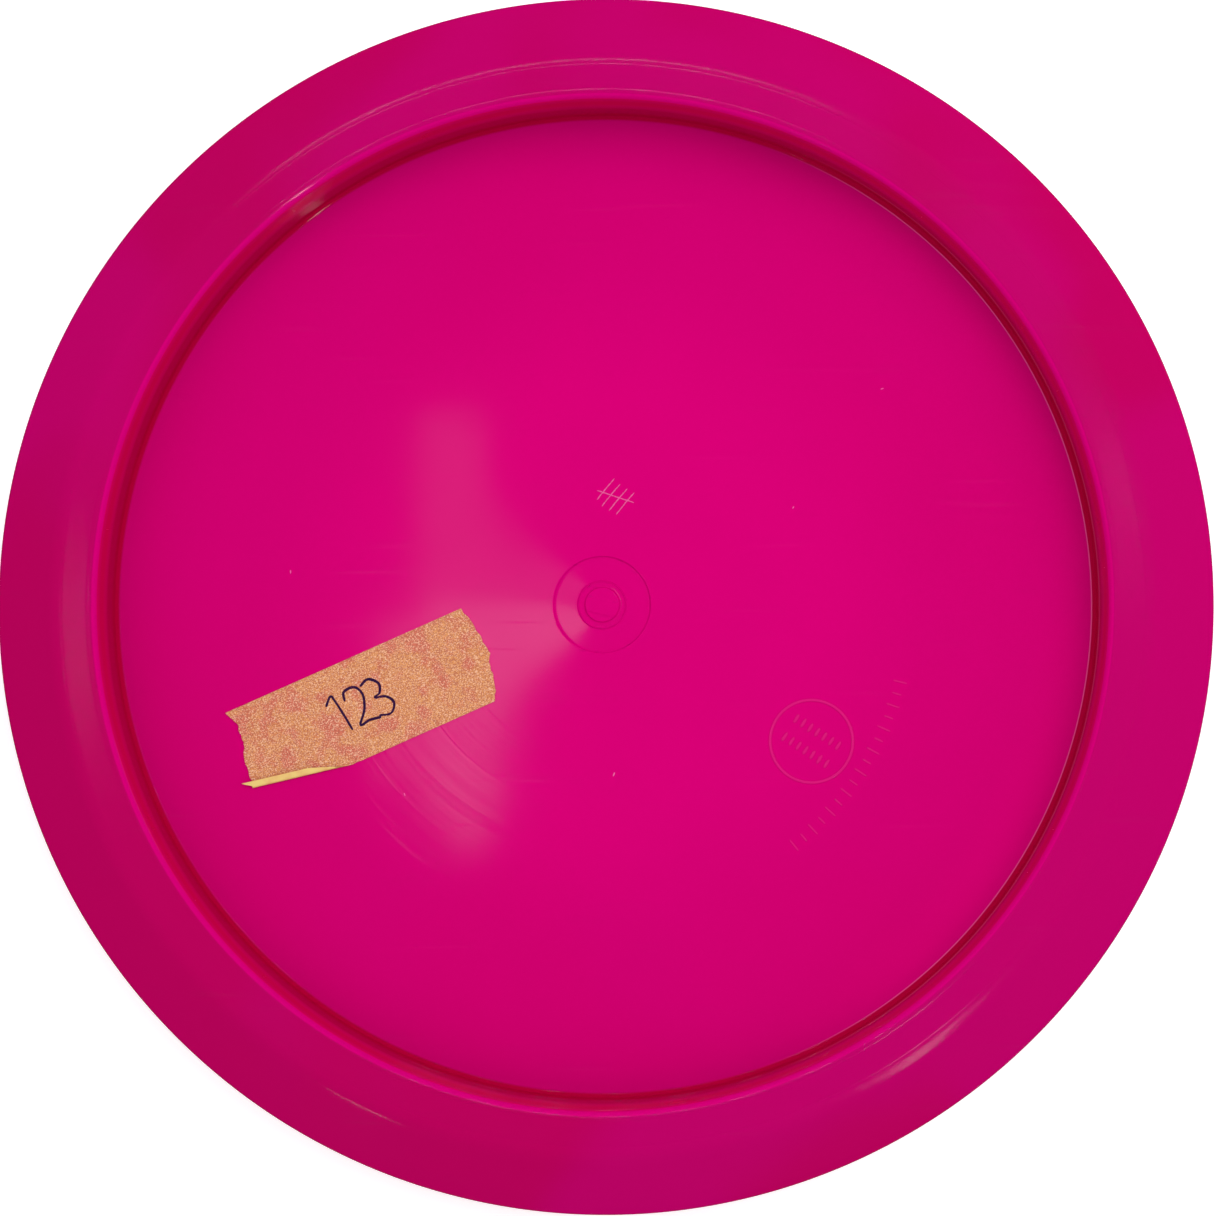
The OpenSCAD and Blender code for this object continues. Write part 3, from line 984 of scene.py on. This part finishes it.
class GOLFDISC_OT_pen_strokes(bpy.types.Operator):
    """The number written on the tape: flattened tubes along the flowing line of each digit"""

    bl_idname = "golf_disc.pen_strokes"
    bl_label = "Pen strokes"

    def execute(self, context):
        disc, tape = settings().disc, settings().tape
        rng = np.random.default_rng(9)
        strokes = []
        lift = tape.glue_t + tape.paper_t
        for i, digit in enumerate((ONE, TWO, THREE)):
            flat = flowing(digit, 14) * tape.number_h
            flat += [(i - 1.45) * 0.52 * tape.number_h, -tape.number_h / 2]
            flat[:, 0] -= 0.19 * flat[:, 1]
            at = placed(flat, tape.tape_x - 0.7 * MM, tape.tape_y, tape.tape_turn)
            press = np.convolve(rng.uniform(0.75, 1.2, len(at) + 6), np.ones(7) / 7, "valid")
            path = on_plate(disc, at, lift)
            strokes.append(tube(path, tape.stroke_w / 2 * press, 0.035 * MM, taper=0.8))
        ink = piece("pen_strokes", *join(strokes), pen_ink(), "pen_ink")
        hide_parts("pen_number")
        return {"FINISHED"}


class GOLFDISC_OT_foil_stamps(bpy.types.Operator):
    """The foil stamps on the outer face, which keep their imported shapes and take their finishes"""

    bl_idname = "golf_disc.foil_stamps"
    bl_label = "Foil stamps"

    def execute(self, context):
        finish = settings().finish
        foils = {
            "stamp_chevrons": hot_foil("silver_foil", finish.silver, 1.0, (0.45, 0.10, 0.22)),
            "stamp_dashes": hot_foil("dark_foil", finish.dark_foil, 0.0, (0.35, 0.01, 0.12)),
        }
        for node, foil in foils.items():
            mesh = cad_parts[node].data
            mesh.materials.clear()
            mesh.materials.append(foil)
        return {"FINISHED"}


# Stage --------------------------------------------------------------------------------------------


def lamp(name, place, size, radiance, gleam_only=False, soft_only=False, upright=False):
    """An oblong area lamp that faces the disc, with a radiance on the sky's scale."""
    data = bpy.data.lights.new(name, "AREA")
    data.shape = "RECTANGLE"
    data.size, data.size_y = size
    data.energy = 4 * size[0] * size[1] * radiance
    made = bpy.data.objects.new(name, data)
    bpy.context.scene.collection.objects.link(made)
    made.location = place
    made.rotation_euler = facing(Vector(place).normalized(), (0, 0, 1) if upright else (0, 1, 0))
    made.visible_diffuse = not gleam_only
    made.visible_glossy = not soft_only
    made.visible_camera = False
    return made


def facing(back, up=(0, 1, 0)):
    """The turn that puts +Z along a direction and keeps +Y as near as it can to another."""
    right = Vector(up).cross(back).normalized()
    return Matrix((right, back.cross(right), back)).transposed().to_euler()


def away(azimuth, elevation, distance):
    """The place at a distance in a direction given in degrees."""
    turn, rise = math.radians(azimuth), math.radians(elevation)
    flat = math.cos(rise)
    return Vector((math.cos(turn) * flat, math.sin(turn) * flat, math.sin(rise))) * distance


# Lamps that only show in the gloss. Over the plate: name, place, width and height, radiance
PLATE_GLEAMS = (
    ("plate_gleam_tip", (-0.091, -0.0185, 1.2), (0.007, 0.008), 1.9),
    ("plate_gleam_low", (-0.0925, -0.0105, 1.2), (0.015, 0.009), 1.9),
    ("plate_gleam_mid", (-0.093, 0.014, 1.2), (0.016, 0.042), 2.1),
    ("plate_gleam_side", (-0.106, 0.012, 1.2), (0.010, 0.036), 1.0),
    ("plate_gleam_high", (-0.095, 0.057, 1.2), (0.014, 0.044), 0.6),
)
# Over the rim: name, azimuth, elevation, distance, width and height, radiance
GLEAMS = (
    ("rim_gleam_right", -57, 60, 1.0, (0.018, 0.40), 9.0),
    ("rim_gleam_left", 241, 33, 1.0, (0.08, 0.02), 9.0),
    ("rim_gleam_far_left", 179, 71.5, 1.26, (0.08, 0.012), 5.0),
    ("rim_gleam_far_right", 21, 76, 1.24, (0.03, 0.01), 6.0),
)


class GOLFDISC_OT_stage(bpy.types.Operator):
    """The floor, the soft lamps and the camera"""

    bl_idname = "golf_disc.stage"
    bl_label = "Floor, lamps and camera"

    def execute(self, context):
        stage = settings().stage
        scene = context.scene
        half = stage.floor_size / 2
        mesh = bpy.data.meshes.new("floor")
        corners = [(-half, -half, 0), (half, -half, 0), (half, half, 0), (-half, half, 0)]
        mesh.from_pydata(corners, [], [(0, 1, 2, 3)])
        mesh.materials.append(floor_paint())
        floor = bpy.data.objects.new("floor", mesh)
        scene.collection.objects.link(floor)
        floor.visible_glossy = False
        world = bpy.data.worlds.new("soft_sky")
        scene.world = world
        world.use_nodes = True
        world.node_tree.nodes["Background"].inputs["Color"].default_value = (1, 1, 1, 1)
        world.node_tree.nodes["Background"].inputs["Strength"].default_value = stage.sky
        world.cycles_visibility.glossy = False
        world.cycles_visibility.transmission = False
        scene.view_settings.view_transform = "Standard"
        lamp("key_lamp", away(45, 58, 0.6), (0.5, 0.5), stage.key, soft_only=True)
        for name, place, size, radiance in PLATE_GLEAMS:
            lamp(name, place, size, radiance * stage.gleam, gleam_only=True)
        for name, azimuth, elevation, distance, size, radiance in GLEAMS:
            place = away(azimuth, elevation, distance)
            lamp(name, place, size, radiance * stage.gleam, gleam_only=True, upright=True)
        for i in range(8):
            place, radiance = away(78 + 7 * i, 66, 1.2), 16 * stage.gleam
            lamp(f"row_lamp_{i:02}", place, (0.03, 0.02), radiance, gleam_only=True, upright=True)
        self.add_camera(scene, stage)
        return {"FINISHED"}

    def add_camera(self, scene, stage):
        data = bpy.data.cameras.new("camera")
        data.lens = stage.lens
        data.sensor_width = 36
        data.clip_start, data.clip_end = 0.01, 20
        camera = bpy.data.objects.new("camera", data)
        camera.location = stage.camera_at
        camera.rotation_euler = facing((Vector(stage.camera_at) - Vector(stage.camera_aim)).normalized())
        scene.collection.objects.link(camera)
        scene.camera = camera


class GOLFDISC_PT_panel(bpy.types.Panel):
    """The disc's steps and settings"""

    bl_idname = "GOLFDISC_PT_panel"
    bl_label = "Golf disc"
    bl_space_type = "VIEW_3D"
    bl_region_type = "UI"
    bl_category = "Golf disc"

    def draw(self, context):
        for step in STEPS:
            self.layout.operator(step.bl_idname, text=step.bl_label)
        groups = settings()
        for name in ("disc", "marks", "tape", "finish", "stage"):
            group = getattr(groups, name)
            box = self.layout.box()
            box.label(text=name.capitalize())
            for key in group.__annotations__:
                box.prop(group, key)


STEPS = (
    GOLFDISC_OT_shell,
    GOLFDISC_OT_moulded_marks,
    GOLFDISC_OT_tally_scratches,
    GOLFDISC_OT_wear_nicks,
    GOLFDISC_OT_masking_tape,
    GOLFDISC_OT_pen_strokes,
    GOLFDISC_OT_foil_stamps,
    GOLFDISC_OT_stage,
)
GROUPS = (DiscSizes, MarkSizes, TapeSizes, Finishes, StageSettings, DiscSettings)


def register():
    for cls in (*GROUPS, *STEPS, GOLFDISC_PT_panel):
        bpy.utils.register_class(cls)
    bpy.types.Scene.golf_disc = PointerProperty(type=DiscSettings)


def unregister():
    del bpy.types.Scene.golf_disc
    for cls in (GOLFDISC_PT_panel, *reversed(STEPS), *reversed(GROUPS)):
        bpy.utils.unregister_class(cls)


def main():
    register()
    bpy.ops.golf_disc.shell()
    bpy.ops.golf_disc.moulded_marks()
    bpy.ops.golf_disc.tally_scratches()
    bpy.ops.golf_disc.wear_nicks()
    bpy.ops.golf_disc.masking_tape()
    bpy.ops.golf_disc.pen_strokes()
    bpy.ops.golf_disc.foil_stamps()
    bpy.ops.golf_disc.stage()


if __name__ == "__main__":
    main()
